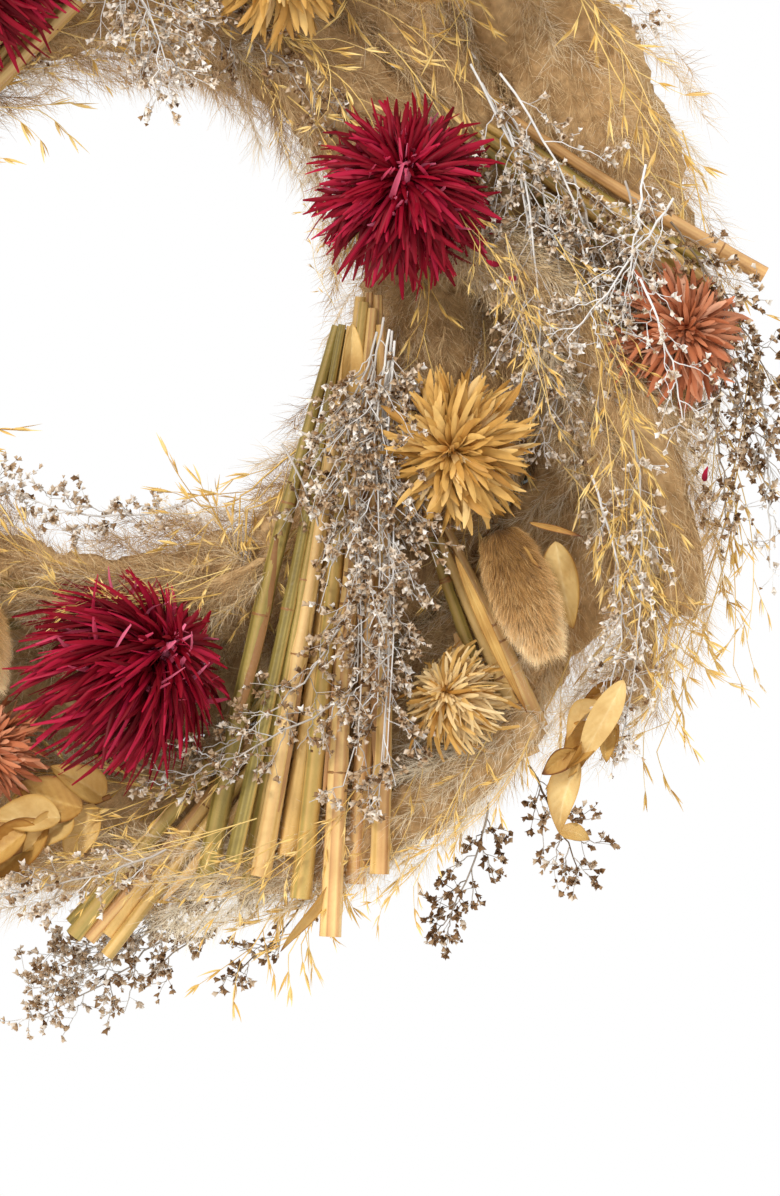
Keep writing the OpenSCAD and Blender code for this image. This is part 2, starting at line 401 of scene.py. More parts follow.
def spikelet_look():
    look = Look("spikelet_husk", roughness=0.5, specular=0.3)
    look.shades((214, 168, 84), (234, 194, 108), (248, 216, 140), (230, 192, 122))
    return look.along(0.85, 1.0, 1.06).done()


def straw_look():
    look = Look("straw_stalk", roughness=0.4, specular=0.4)
    look.shades((134, 118, 58), (172, 152, 84), (204, 168, 98), (226, 188, 118), (234, 200, 136),
                (214, 166, 110), (150, 104, 56))
    look.along((0.7, 0.66, 0.58), (0.86, 0.83, 0.78), 0.98, 1.1)
    look.patches(55, (0.78, 0.72, 0.62), (1.06, 1.05, 1.02), 5)
    return look.bump(900, 0.0002, 3).done()


def magenta_look():
    look = Look("magenta_bract", roughness=0.5, specular=0.15)
    # The palest shade goes to the rolled bracts as a painted highlight.
    look.shades((80, 0, 8), (112, 0, 18), (142, 4, 32), (176, 26, 60), (232, 124, 152))
    # Painted shade and highlight: the bracts darken towards their roots in the head's centre and
    # brighten to a painted highlight at their tips.
    return look.along(0.35, 0.6, 0.95, 1.12).done()


def yellow_look():
    look = Look("yellow_petal", roughness=0.5, specular=0.25)
    look.shades((178, 124, 52), (206, 156, 78), (226, 182, 106), (244, 216, 162))
    # Petals are darker and browner towards their roots: partly their own brownish centre, partly
    # painted shade between the petals in the head's centre.
    look.along((0.84, 0.76, 0.6), (0.96, 0.93, 0.88), 1.0, 1.0)
    return look.patches(300, 0.84, 1.04, 5).done()


def rust_look():
    look = Look("rust_petal", roughness=0.55, specular=0.2)
    look.shades((156, 80, 46), (192, 112, 72), (212, 142, 104), (226, 174, 142))
    return look.along((0.6, 0.5, 0.42), 0.9, 1.05).patches(90, 0.85, 1.05).done()


def tail_look():
    look = Look("bunny_fur", roughness=0.85, specular=0.1, sheen=0.15)
    look.shades((130, 88, 40), (188, 142, 82), (228, 188, 128), (250, 228, 184))
    return look.along(0.46, 0.94, 1.42).done()


def leaf_look():
    look = Look("dry_leaf", roughness=0.5, specular=0.3)
    look.shades((104, 58, 22), (168, 120, 56), (206, 166, 94), (224, 192, 130), (236, 214, 162))
    look.patches(90, (0.74, 0.62, 0.46), (1.05, 1.04, 1.0), 5)
    return look.bump(700, 0.0003, 4).done()


def floret_look():
    look = Look("caspia_floret", roughness=0.7, specular=0.15)
    look.shades((104, 74, 46), (160, 126, 90), (204, 178, 146), (232, 220, 204), (247, 243, 237))
    return look.along((0.55, 0.45, 0.34), (0.92, 0.88, 0.82), 1.05).done()


def twig_look():
    look = Look("caspia_stem", roughness=0.65, specular=0.2)
    look.shades((92, 70, 48), (150, 130, 108), (208, 200, 190), (240, 237, 232))
    return look.patches(200, 0.85, 1.06).done()


def core_look():
    look = Look("core_stem", roughness=0.7, specular=0.25)
    look.shades((110, 82, 46), (150, 118, 68), (178, 148, 92), (128, 108, 60))
    return look.patches(200, 0.8, 1.08).done()


def wire_look(name, colour, roughness, metallic):
    look = Look(name, roughness=roughness, specular=0.5)
    look.shader.inputs["Metallic"].default_value = metallic
    base = look.noise(300, 4)
    dark = srgb(*[c * 0.75 for c in colour])
    look.times(look.ramp(base, [(0.3, dark), (0.7, srgb(*colour))]))
    return look.bump(500, 0.0001, 3).done()


LOOKS = {
    "plume": plume_look(),
    "plume_core": plume_core_look(),
    "spikelet": spikelet_look(),
    "straw": straw_look(),
    "magenta": magenta_look(),
    "yellow": yellow_look(),
    "rust": rust_look(),
    "tail": tail_look(),
    "leaf": leaf_look(),
    "floret": floret_look(),
    "twig": twig_look(),
    "core": core_look(),
    "frame_wire": wire_look("frame_enamel", (46, 52, 46), 0.5, 0.0),
    "binding": wire_look("binding_lacquer", (44, 60, 40), 0.4, 0.3),
    "loop_wire": wire_look("loop_steel", (176, 176, 172), 0.35, 0.9),
}


# ---------- plumes ----------

PLUME_PALE = {"plume_inner": -0.08, "plume_outer": 0.1}
PLUME_TUFTS = 176
HAIR_LENGTH = (5, 10)
HAIR_HALF_WIDTH = 0.065
HAIR_SPLAY = 1.15


def plume(name, number, rng):
    """A reed plume: a lumpy core under feathery tufts of fine hair that flow to its tip."""
    sweep = node_sweep(name)
    plume_core(sweep, f"plume_core_{number:02d}", rng)
    shape = Shape()
    plume_tufts(shape, sweep, rng, PLUME_TUFTS, PLUME_PALE[name.rsplit("_", 1)[0]])
    shape.piece(f"plume_{number:02d}", LOOKS["plume"], "plume", [name])


def plume_tufts(shape, sweep, rng, tufts, pale=0.0, hairs=145, least=1.0):
    """Tufts that rise from inside a sweep and flow to its tip, most of them on its front."""
    start = rng.uniform(-0.12, 1.0, tufts)
    front = rng.random(tufts) < 0.74
    turn = np.where(front, rng.uniform(-math.pi, 0, tufts), rng.uniform(0, math.pi, tufts))
    reach = rng.uniform(0.66, 1.14, tufts)
    step = rng.uniform(30, 50, tufts) / sweep.length
    root = sweep.place(start, turn, 0.35 * reach, least)
    bend = sweep.place(start + 0.4 * step, turn, 0.95 * reach, least)
    tip = sweep.place(start + step, turn + rng.normal(0, 0.3, tufts), reach, least)
    stems = bezier(root, bend, tip, 7)
    outward = unit(bend - sweep.place(start + 0.4 * step, turn, 0.0)) * 0.3
    shade = rng.beta(2.0, 1.8, tufts) + pale
    tuft_hairs(shape, stems, hairs, shade, rng, outward)


def tuft_hairs(shape, stems, counts, shade, rng, outward):
    """Fine hairs along tuft stems (n, k, 3). They lean forwards, splay, curl and droop."""
    steps = stems.shape[1] - 1
    which = np.repeat(np.arange(len(stems)), counts)
    share = rng.uniform(0.02, 1, len(which)) * steps
    i = np.minimum(share.astype(int), steps - 1)
    f = (share - i)[:, None]
    base = stems[which, i] * (1 - f) + stems[which, i + 1] * f
    along = unit(stems[which, i + 1] - stems[which, i])
    heading = unit(along + HAIR_SPLAY * random_units(rng, len(which)) + outward[which] + 0.1 * DOWN)
    reach = rng.uniform(*HAIR_LENGTH, len(which))[:, None]
    bend = base + heading * reach * 0.5 + 0.22 * reach * random_units(rng, len(which))
    tip = base + heading * reach + (along * 0.15 + DOWN * 0.08) * reach
    paths = bezier(base, bend, tip, 3)
    sides = random_sides(heading, rng, 3)
    widths = each(len(which), [HAIR_HALF_WIDTH, HAIR_HALF_WIDTH * 0.9, 0.01])
    tone = np.clip(shade[which] + rng.normal(0, 0.14, len(which)), 0.01, 0.99)
    shape.ribbons(paths, sides, widths, tone)


def plume_core(sweep, name, rng, size=1.0):
    """The dense inside of a plume, which the hairs cover. It is narrowest towards its sides."""
    rows, columns = 60, 40
    share = np.linspace(-0.06, 1.08, rows)[:, None]
    turn = np.linspace(0, 2 * math.pi, columns, endpoint=False)[None]
    lumps = 0.79 + 0.06 * np.sin(share * 37 + 3 * turn) + rng.normal(0, 0.025, (rows, columns))
    lumps[[0, -1]] *= 0.1
    lumps = lumps * (0.84 + 0.16 * np.abs(np.sin(turn)))
    points = sweep.place(share + 0 * turn, turn + 0 * share, lumps * size, 0.95 * size)
    shape = Shape()
    u = rng.random((1, rows, columns))
    shape.grids(points[None], u, share[None].clip(0, 1), closed=True)
    shape.piece(name, LOOKS["plume_core"], "plume")


def filled_strand(kind, number, sweep, rng, core_size, **tuft_options):
    """A loose strand or bridge of plume hair: its tufts, then the core inside them."""
    shape = Shape()
    plume_tufts(shape, sweep, rng, **tuft_options)
    shape.piece(f"plume_{kind}_{number:02d}", LOOKS["plume"], "plume")
    plume_core(sweep, f"plume_{kind}_core_{number:02d}", rng, core_size)


PLUME_STRANDS = [
    (104, 14, 200, -26, -60, 21, 8, 0.08), (140, -8, 204, -36, -54, 17, 8, 0.06),
    (166, -34, 182, -58, -44, 18, 9, 0.22), (186, -46, 186, -76, -56, 18, 8, 0.5),
    (174, -80, 178, -103, -56, 10, 6, 0.1), (94, -62, 97, -112, -58, 13, 6, -0.1),
    (110, 90, 190, 50, -58, 18, 8, 0.0), (120, 165, 195, 130, -58, 18, 8, 0.2),
    (110, 235, 190, 200, -58, 18, 8, 0.0),
]
WIDE_STRAND = 15
WIDE_CORE = 0.75
NARROW_CORE = 0.25
STRAND_TUFT_AREA = 36
BRIDGE_STEP = 40
BRIDGE_RADIUS = 128
BRIDGE_SECTION = (-36, 20, 11)
BRIDGE_TUFTS = 56
BRIDGE_HAIRS = 110
# Darkens the bridging hair: painted shade in the gap between the two rows of plumes.
BRIDGE_PAINTED_SHADE = -0.26
BRIDGE_CORE = 0.9


def loose_plumes(rng):
    """Plume strands that lie over the others, and the hair that closes the gap between the
    two rows of plumes, which is painted darker as shade in that gap. PLUME_STRANDS holds
    what strand_sweep takes, and how pale each is. BRIDGE_SECTION is the depth, half width
    and half depth of that hair."""
    for number, (*place, pale) in enumerate(PLUME_STRANDS, 1):
        sweep = strand_sweep(*place)
        half_width = place[5]
        tufts = int(sweep.length * half_width / STRAND_TUFT_AREA)
        size = WIDE_CORE if half_width > WIDE_STRAND else NARROW_CORE
        filled_strand("strand", number, sweep, rng, size, tufts=tufts, pale=pale, least=0.75)
    for number, start in enumerate(range(0, 360, BRIDGE_STEP), 1):
        sweep = strand_sweep(BRIDGE_RADIUS, start, BRIDGE_RADIUS, start - BRIDGE_STEP,
                             *BRIDGE_SECTION)
        filled_strand("bridge", number, sweep, rng, BRIDGE_CORE, tufts=BRIDGE_TUFTS,
                      pale=BRIDGE_PAINTED_SHADE, hairs=BRIDGE_HAIRS)


# ---------- golden spikelets ----------

def panicle(shape, path, rng, branches=9, spread=0.8, size=1.0):
    """Branch of golden husks along a path: side branches that each carry forked spikelets."""
    shape.tubes(path[None], np.linspace(0.3, 0.15, len(path))[None] * size, rng.random(1), 4)
    share = np.linspace(0.1, 1.0, branches)
    root, along = resample(path, share)
    swing = np.where(np.arange(branches) % 2, 1, -1)[:, None] * spread
    side = unit(np.cross(along, FRONT) + rng.normal(0, 0.25, (branches, 3)))
    heading = unit(along + side * swing * rng.uniform(0.4, 1.1, (branches, 1)))
    length = rng.uniform(8, 20, (branches, 1)) * size
    tip = root + heading * length + DOWN * length * 0.1
    bend = root + heading * length * 0.5 + along * length * 0.14
    twigs = bezier(root, bend, tip, 6)
    shape.tubes(twigs, each(branches, np.linspace(0.17, 0.09, 6)) * size,
                rng.random(branches), 3)
    for twig in twigs:
        husks(shape, twig, rng, size)


def husks(shape, twig, rng, size):
    """Forked spikelets along one twig and at its tip."""
    share = np.array([0.55, 1.0]) + rng.uniform(-0.12, 0.0, 2)
    root, along = resample(twig, share)
    spike = unit(along + 0.35 * random_units(rng, 2))
    which = np.repeat(np.arange(2), 3)
    heading = unit(spike[which] + 0.24 * random_units(rng, 6))
    length = rng.uniform(4.5, 9.0, (6, 1)) * size
    base = root[which]
    tip = base + heading * length
    paths = bezier(base, base + heading * length * 0.5 + random_units(rng, 6) * 0.4, tip, 5)
    widths = each(6, [0.1, 0.36, 0.38, 0.2, 0.03]) * size
    shape.petals(paths, random_units(rng, 6)[:, None].repeat(5, 1), widths, rng.random(6),
                 cup=0.6)


def plume_spikelets(name, number, rng, count=7):
    """Golden branches that lie over one plume."""
    sweep = node_sweep(name)
    shape = Shape()
    steps = np.linspace(0, 1, 12)
    for _ in range(count):
        start = rng.uniform(-0.1, 0.8)
        turn = rng.uniform(-2.7, -0.4)
        step = rng.uniform(45, 75) / sweep.length
        path = sweep.place(start + step * steps, turn + rng.uniform(-0.5, 0.5) * np.sin(3 * steps),
                           1.0 + 0.4 * steps, 0.85)
        panicle(shape, path + FRONT * 3, rng, branches=8, size=rng.uniform(0.8, 1.15))
    shape.piece(f"plume_spikelets_{number:02d}", LOOKS["spikelet"], "spikelet")


def free_spikelets(name, number, rng, count=4):
    """Golden branches that follow a CAD spray and hang past it."""
    sweep = node_sweep(name)
    shape = Shape()
    steps = np.linspace(0, 1, 12)
    for _ in range(count):
        share = rng.uniform(-0.1, 0.45) + 0.65 * steps
        path = sweep.place(share, rng.uniform(-3, 3), 0.2 + 1.0 * steps, 0.6)
        path = path + DOWN * steps[:, None] ** 2 * rng.uniform(2, 12)
        panicle(shape, path, rng, branches=9, spread=1.0)
    shape.piece(f"spikelets_{number:02d}", LOOKS["spikelet"], "spikelet", [name])


# ---------- straw ----------

def separate_rods(name):
    """Ends and radius of each separate straw in a CAD node."""
    points = node_points(name)
    key = {}
    ids = np.array([key.setdefault(tuple(p), len(key)) for p in np.round(points, 3)])
    owner = list(range(len(key)))

    def find(i):
        while owner[i] != i:
            owner[i] = owner[owner[i]]
            i = owner[i]
        return i

    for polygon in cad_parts[name].data.polygons:
        corners = [find(ids[v]) for v in polygon.vertices]
        for corner in corners[1:]:
            owner[find(corner)] = find(corners[0])
    groups = np.array([find(i) for i in ids])
    rods = []
    for group in np.unique(groups):
        cloud = points[groups == group]
        middle = cloud.mean(0)
        axis = np.linalg.svd(cloud - middle, full_matrices=False)[2][0]
        along = (cloud - middle) @ axis
        if axis @ middle < 0:
            axis, along = -axis, -along
        radius = np.linalg.norm(cloud - middle - along[:, None] * axis, axis=1).max()
        rods.append((middle + axis * along.min(), middle + axis * along.max(), radius))
    return rods


STRAW_HABIT = {"flare": 1.15, "ends": 1.0, "gather": 1.0}
STRAW_HABITS = {1: {"flare": 1.5}, 2: {"gather": 0.55}, 3: {"ends": 0.9}, 4: {"flare": 1.4}}


def straw_bundle(name, number, rng):
    """Ribbed hollow straws with swollen nodes and cut ends, and a few papery husk strips. Their
    roots gather. In a bundle's habit, flare sets how thick the ends are, ends how long the
    straws are and gather how far apart their ends stay."""
    habit = {**STRAW_HABIT, **STRAW_HABITS.get(number, {})}
    shape = Shape()
    rods = sorted(separate_rods(name), key=lambda rod: rod[1][0])
    stations, sides = 30, 28
    share = np.linspace(0, 1, stations)
    flare = np.interp(share, [0, 1], [0.8, habit["flare"]])
    gather, gather_end = (np.mean([rod[i] for rod in rods], axis=0) for i in range(2))
    for i, (start, end, radius) in enumerate(rods):
        length = habit["ends"] * rng.uniform(0.93, 1.02)
        end = start + (end - start) * length + rng.normal(0, 1.2, 3)
        end = gather_end + (end - gather_end) * habit["gather"]
        start = gather + (start - gather) * 0.6 + (end - start) * rng.uniform(-0.07, 0.01)
        bow = rng.normal(0, 1.3, 3) * np.sin(math.pi * share)[:, None]
        path = start + (end - start) * share[:, None] + bow
        node_at = rng.uniform(0.15, 0.85, 2)
        swell = sum(0.16 * np.exp(-((share - n) * 50) ** 2) for n in node_at)
        sheath = np.where(share > node_at.min(), 1.0, 0.88)
        radii = radius * flare * (sheath + swell) * rng.uniform(0.75, 1.05)
        tone = rng.uniform(0.05, 0.22) if i < len(rods) / 4 else rng.uniform(0.3, 0.85)
        streaks = rng.normal(0, 0.1, sides // 2).repeat(2) + rng.normal(0, 0.04, sides)
        shape.tubes(path[None], radii[None], np.array([tone]), sides, streaks)
        hollow_end(shape, path, radii, tone, sides)
        node_rings(shape, path, radii, node_at, sides)
    husk_strips(shape, rods, rng)
    shape.piece(f"straws_{number:02d}", LOOKS["straw"], "straw", [name])


def node_rings(shape, path, radii, node_at, sides):
    """The thin brown ring at each swollen node of one straw."""
    middle, along = resample(path, node_at)
    paths = middle[:, None] + along[:, None] * np.array([-0.7, 0.0, 0.7])[:, None]
    radius = np.interp(node_at, np.linspace(0, 1, len(radii)), radii)[:, None]
    shape.tubes(paths, radius * np.array([0.9, 1.09, 0.9]), np.full(len(node_at), 0.97), sides)


def hollow_end(shape, path, radii, tone, sides):
    """The bore and the cut rim at both ends of one straw."""
    for end, inward in ((0, 1), (-1, -2)):
        rim = path[end]
        away = unit(path[inward] - rim)
        depth = np.array([0.0, 0.0, 6.0, 6.2])[:, None]
        bore = rim + away * depth + away * np.array([0, 0.01, 0, 0])[:, None]
        wall = radii[end] * np.array([1.0, 0.7, 0.66, 0.05])
        shape.tubes(bore[None], wall[None], np.array([max(tone - 0.25, 0.01)]), sides)


def husk_strips(shape, rods, rng):
    """Thin leaf blades that peel away beside some straws."""
    chosen = rods[::3]
    count = len(chosen)
    start = np.array([r[0] for r in chosen])
    end = np.array([r[1] for r in chosen])
    low = rng.uniform(0.35, 0.5, (count, 1))
    high = low + rng.uniform(0.3, 0.5, (count, 1))
    lift = FRONT * 3.2 + rng.normal(0, 1.0, (count, 3))
    p0 = start + (end - start) * low + lift * 0.8
    p2 = start + (end - start) * np.minimum(high, 0.99) + lift * 1.2
    p1 = (p0 + p2) / 2 + rng.normal(0, 2.0, (count, 3))
    paths = bezier(p0, p1, p2, 14)
    widths = 1.7 * np.sin(math.pi * np.linspace(0.06, 0.97, 14)) ** 0.6
    shape.petals(paths, np.tile(FRONT, (count, 14, 1)), each(count, widths),
                 rng.uniform(0.6, 0.98, count), cup=0.35, columns=4)


# ---------- flower heads ----------

def head_frame(name, lean):
    """Middle, radius and axes of a head, whose face leans by lean (right, up)."""
    low, high = node_box(name)
    radius = (high[0] - low[0]) / 2
    middle = np.array([(low[0] + high[0]) / 2, high[1] - 0.32 * (high[1] - low[1]),
                       (low[2] + high[2]) / 2])
    middle = middle + np.array([lean[0], 0.0, lean[1]]) * 0.12 * radius
    axis = unit(np.array([lean[0], -1.0, lean[1]]))
    right = unit(np.cross(axis, np.array([0.0, 0.0, 1.0])))
    return middle, radius, axis, right, np.cross(right, axis)


def directions(frame_axes, tilt, spin):
    """Unit vectors at a tilt from the head's axis and a spin about it."""
    axis, right, up = frame_axes
    flat = right * np.cos(spin)[:, None] + up * np.sin(spin)[:, None]
    return axis * np.cos(tilt)[:, None] + flat * np.sin(tilt)[:, None]


def head_petals(shape, name, rng, style, lean):
    """Petals in a spiral over a dome, short and upright inside, long and spread outside. Their
    tips hang back from the way the head leans, and a few pale ones roll over; on the
    magenta heads those pale rolled bracts are a painted highlight."""
    middle, radius, axis, right, up = head_frame(name, lean)
    radius = radius * style["grow"]
    axes = (axis, right, up)
    count = style["count"]
    share = (np.arange(count) + 0.5) / count
    spin = np.arange(count) * GOLDEN_ANGLE + rng.normal(0, 0.12, count)
    tilt = style["open"] * share ** 0.62 + rng.normal(0, style["jitter"], count)
    length = radius * (style["inner"] + (1 - style["inner"]) * share ** 0.5)
    length = length * rng.uniform(0.78, 1.15, count)
    curl = style["hook"] * rng.uniform(0.2, 1.8, count)
    curled = rng.random(count) < style["pale"]
    curl[curled] += style["roll"]
    length[curled] *= 0.85
    base = middle + directions(axes, tilt * 0.75, spin) * radius * 0.16
    bend = middle + directions(axes, tilt - curl * 0.5, spin) * (length * 0.62)[:, None]
    tip_spin = spin + rng.normal(0, style["swirl"], count)
    hang = np.array([lean[0], 0.0, lean[1]]) * -0.11
    tip = middle + (directions(axes, tilt + curl, tip_spin) + hang) * length[:, None]
    steps = 8
    paths = bezier(base, bend, tip, steps)
    faces = directions(axes, np.maximum(tilt - 0.9, -0.4), spin)
    faces = unit(faces + style["twist"] * rng.normal(size=(count, 3)))[:, None].repeat(steps, 1)
    profile = np.interp(np.linspace(0, 1, steps), style["at"], style["profile"])
    widths = profile[None] * style["width"] * rng.uniform(0.7, 1.2, (count, 1))
    tone = np.clip(rng.beta(2, 2, count) * 0.8, 0.02, 0.98)
    # Rolled petals take pale shades; on the magenta heads these are a painted highlight.
    tone[curled] = rng.uniform(0.75, 0.98, curled.sum())
    shape.petals(paths, faces, widths, tone, cup=style["cup"], columns=4)


STYLES = {
    # On the magenta heads, pale is the share of bracts that roll over in the palest shade: a
    # painted highlight.
    "magenta": dict(
        grow=1.1, count=680, open=1.95, inner=0.62, hook=0.42, swirl=0.28, jitter=0.24,
        twist=0.6, cup=0.5, pale=0.07, roll=-1.0, width=1.0,
        at=[0, 0.2, 0.85, 1], profile=[0.7, 1.0, 0.8, 0.3]),
    "yellow": dict(
        grow=1.05, count=400, open=1.72, inner=0.42, hook=0.2, swirl=0.22, jitter=0.18,
        twist=0.6, cup=0.25, pale=0.1, roll=0.3, width=1.15,
        at=[0, 0.3, 0.75, 0.93, 1], profile=[0.7, 0.95, 1.0, 0.7, 0.2]),
    "ragged": dict(
        grow=1.0, count=540, open=1.75, inner=0.5, hook=0.45, swirl=0.5, jitter=0.24,
        twist=1.0, cup=0.2, pale=0.8, roll=0.0, width=0.68,
        at=[0, 0.3, 0.8, 1], profile=[0.7, 0.9, 1.0, 0.5]),
    "rust": dict(
        grow=1.12, count=400, open=1.8, inner=0.45, hook=0.3, swirl=0.3, jitter=0.2,
        twist=0.8, cup=0.3, pale=0.15, roll=0.0, width=0.95,
        at=[0, 0.3, 0.8, 0.95, 1], profile=[0.4, 0.8, 1.0, 0.8, 0.3]),
}
LEANS = {
    "magenta_flower_1": (0.05, 0.35), "magenta_flower_2": (1.2, 0.8),
    "magenta_flower_3": (-0.4, 0.3), "magenta_flower_4": (-0.6, -0.2),
    "yellow_flower_1": (-0.15, 0.0), "yellow_flower_2": (-0.5, 0.3),
    "yellow_flower_3": (0.2, 0.2), "yellow_flower_4": (-0.4, 0.2), "yellow_flower_5": (0.0, -0.4),
    "rust_flower_1": (0.25, 0.2), "rust_flower_2": (-0.4, 0.1), "rust_flower_3": (0.0, 0.4),
    "rust_flower_4": (-0.4, 0.0),
}


def flower(name, rng):
    """One flower head. The second yellow head is a more ragged one."""
    kind = name.split("_")[0]
    style = STYLES["ragged" if name == "yellow_flower_2" else kind]
    shape = Shape()
    head_petals(shape, name, rng, style, LEANS[name])
    shape.piece(name.replace("_flower_", "_head_"), LOOKS[kind], f"{kind}_petals", [name])


# ---------- bunny tails ----------

TAIL_DIRECTIONS = {1: -68, 2: -80, 3: 20, 4: 110}


def bunny_tail(number, rng, hairs=20000, clumps=900):
    """Oval seed head of soft hair, which points towards its tip and is palest at its rim: the
    pale rim, seen from the front, is a painted highlight for the bright fringe.
    """
    name = f"bunny_tail_{number}"
    low, high = node_box(name)
    middle = (low + high) / 2
    axis, across = heading_axes(TAIL_DIRECTIONS[number])
    radius = (high[1] - low[1]) / 2
    length = np.abs((node_points(name) - middle) @ axis).max() * 2
    clump = rng.integers(0, clumps, hairs)
    share = np.clip(rng.random(clumps)[clump] + rng.normal(0, 0.03, hairs), 0, 1)
    spin = rng.uniform(0, 2 * math.pi, clumps)[clump] + rng.normal(0, 0.2, hairs)
    out = across * np.cos(spin)[:, None] + FRONT * np.sin(spin)[:, None]
    profile = np.sin(math.pi * np.clip(share * 0.82 + 0.13, 0, 1)) ** 0.7
    base = middle + axis * ((share - 0.53) * length * 0.84)[:, None]
    base = base + out * (radius * 0.56 * profile)[:, None]
    lean = random_units(rng, clumps)[clump]
    heading = unit(axis * 0.55 + out + 0.22 * lean + 0.5 * random_units(rng, hairs))
    long = rng.uniform(2.6, 5.8, hairs)[:, None]
    tip = base + heading * long * 0.8 + axis * long * 0.4
    paths = bezier(base, base + heading * long * 0.5, tip, 3)
    sides = random_sides(heading, rng, 3)
    widths = each(hairs, [0.05, 0.045, 0.01])
    # Share pales the hair towards the tail's tip; the last term pales the hair at the sides as seen
    # from the front, a painted highlight.
    tone = 0.04 + 0.8 * share ** 1.2 + 0.3 * np.abs(np.cos(spin)) ** 4
    tone = tone + rng.normal(0, 0.1, clumps)[clump] + rng.normal(0, 0.1, hairs)
    shape = Shape()
    shape.ribbons(paths, sides, widths, np.clip(tone, 0.01, 0.99))
    rows = np.linspace(0, 1, 18)
    spine = middle + axis * ((rows - 0.53) * length * 0.86)[:, None]
    body = radius * 0.58 * np.sin(math.pi * np.clip(rows * 0.86 + 0.12, 0, 1)) ** 0.7
    body[[0, -1]] *= 0.1
    shape.tubes(spine[None], body[None], np.array([0.3]), 20)
    shape.piece(f"bunny_fur_{number}", LOOKS["tail"], "bunny_tail", [name])


# ---------- leaves ----------

SPRIG_LEAVES = 8
PLAIN_LEAF = dict(length=(20, 27), slim=0.28, curl=6.0, fold=(0.2, 0.8), brown=0.3)
LEAF_SPRIGS = {
    1: dict(PLAIN_LEAF, root=(155, -90, -58), heading=-156, length=(19, 25), slim=0.3,
            fold=(0.25, 0.8)),
    2: dict(PLAIN_LEAF, root=(198, -36.5, -60), heading=-118, length=(14, 25), slim=0.2,
            curl=12.0, fold=(0.6, 1.5)),
    3: dict(PLAIN_LEAF, root=(176, 50, -57.5), heading=60),
    4: dict(PLAIN_LEAF, root=(168, 222, -57.5), heading=160),
}


def leaf_cluster(number, rng):
    """Dry leaves with a fold along the midrib, on a thin twig."""
    style = LEAF_SPRIGS[number]
    ahead, aside = heading_axes(style["heading"])
    root = polar(*style["root"])
    shape = Shape()
    twig = root + ahead * np.linspace(0, 34, 8)[:, None]
    shape.tubes(twig[None], np.linspace(0.9, 0.5, 8)[None], np.array([0.1]), 6)
    for i in range(SPRIG_LEAVES):
        swing = rng.uniform(0.5, 1.1) * (1 if i % 2 else -1) * (1 - i / SPRIG_LEAVES)
        along = unit(ahead * math.cos(swing) + aside * math.sin(swing)
                     + FRONT * rng.uniform(-0.1, 0.5))
        base = root + ahead * 30 * (i + 0.5) / SPRIG_LEAVES + FRONT * 1.8 * i
        leaf(shape, base, along, rng, style)
    shape.piece(f"leaves_{number}", LOOKS["leaf"], "leaf", [f"leaf_cluster_{number}"])


def leaf(shape, base, along, rng, style, rows=30, columns=19):
    """One dry leaf: side veins press into its blade, its rim is brown, and a pale midrib runs
    to its pointed tip."""
    s = np.linspace(0, 1, rows)
    c = np.linspace(-1, 1, columns)
    normal = unit(FRONT + 0.55 * rng.normal(size=3))
    across = unit(np.cross(along, normal))
    normal = np.cross(across, along)
    length = rng.uniform(*style["length"])
    width = length * style["slim"] * rng.uniform(0.85, 1.15) * np.sin(math.pi * s ** 0.8) ** 0.85
    curl = style["curl"] * rng.uniform(-1, 1) * s ** 2 + 0.7 * np.sin(s * 6 + rng.uniform(0, 6))
    sway = style["curl"] * 0.5 * rng.uniform(-1, 1) * s ** 2
    spine = base + along * (length * s)[:, None] + normal * curl[:, None] + across * sway[:, None]
    fold = rng.uniform(*style["fold"])
    veins = np.cos(14 * math.pi * (s[:, None] - 0.3 * np.abs(c))) * (1 - np.abs(c))
    lift = np.abs(c) ** 1.2 * (width[:, None] + 0.1) * fold + 0.14 * veins
    points = spine[:, None] + across * ((width[:, None] + 0.1) * c)[..., None]
    points = points + normal * lift[..., None]
    rim = np.exp(-((np.abs(c) - 1) * 9) ** 2) + s[:, None] ** 9
    tone = rng.uniform(0.38, 0.95) * (1 - 0.5 * style["brown"]) - style["brown"] * rim
    tone = tone + 0.14 * np.exp(-(c * 12) ** 2) - 0.05 * veins
    shape.grids(points[None], np.clip(tone, 0.02, 0.98)[None], s[None, :, None])


LOOSE_LEAVES = [
    (158, -28.5, -66, -78, 27, 0.2, 0.5), (217, -49.6, -50, -20, 10, 0.3, 0.2),
    (148, -28, -80, -14, 17, 0.06, 1.0), (150, -31, -80, -48, 9, 0.07, 1.0),
    (194, -68.8, -66, -130, 27, 0.07, 0.5), (134, -36.5, -74, -67, 52, 0.03, 0.3),
    (76, -5.8, -72, -93, 36, 0.09, 0.3), (199, -36.5, -76, -116, 30, 0.17, 0.05),
    (202, -44, -74, -150, 13, 0.3, 1.0), (150, 100, -72, 60, 24, 0.26, 0.3),
    (150, 185, -72, 140, 24, 0.26, 0.3),
]


def loose_leaves(rng):
    """Single leaves and blades. Each row of LOOSE_LEAVES is a radius, angle and depth, the
    heading, the length, the half width as a share of it, and how brown the edges are."""
    shape = Shape()
    for radius, degrees, depth, heading, length, slim, brown in LOOSE_LEAVES:
        ahead, _ = heading_axes(heading)
        along = unit(ahead - FRONT * rng.uniform(-0.15, 0.05))
        style = {"length": (length, length * 1.05), "slim": slim, "curl": length * 0.12,
                 "fold": (0.2, 0.6), "brown": brown}
        leaf(shape, polar(radius, degrees, depth), along, rng, style)
    shape.piece("loose_leaves", LOOKS["leaf"], "leaf")


# ---------- caspia ----------

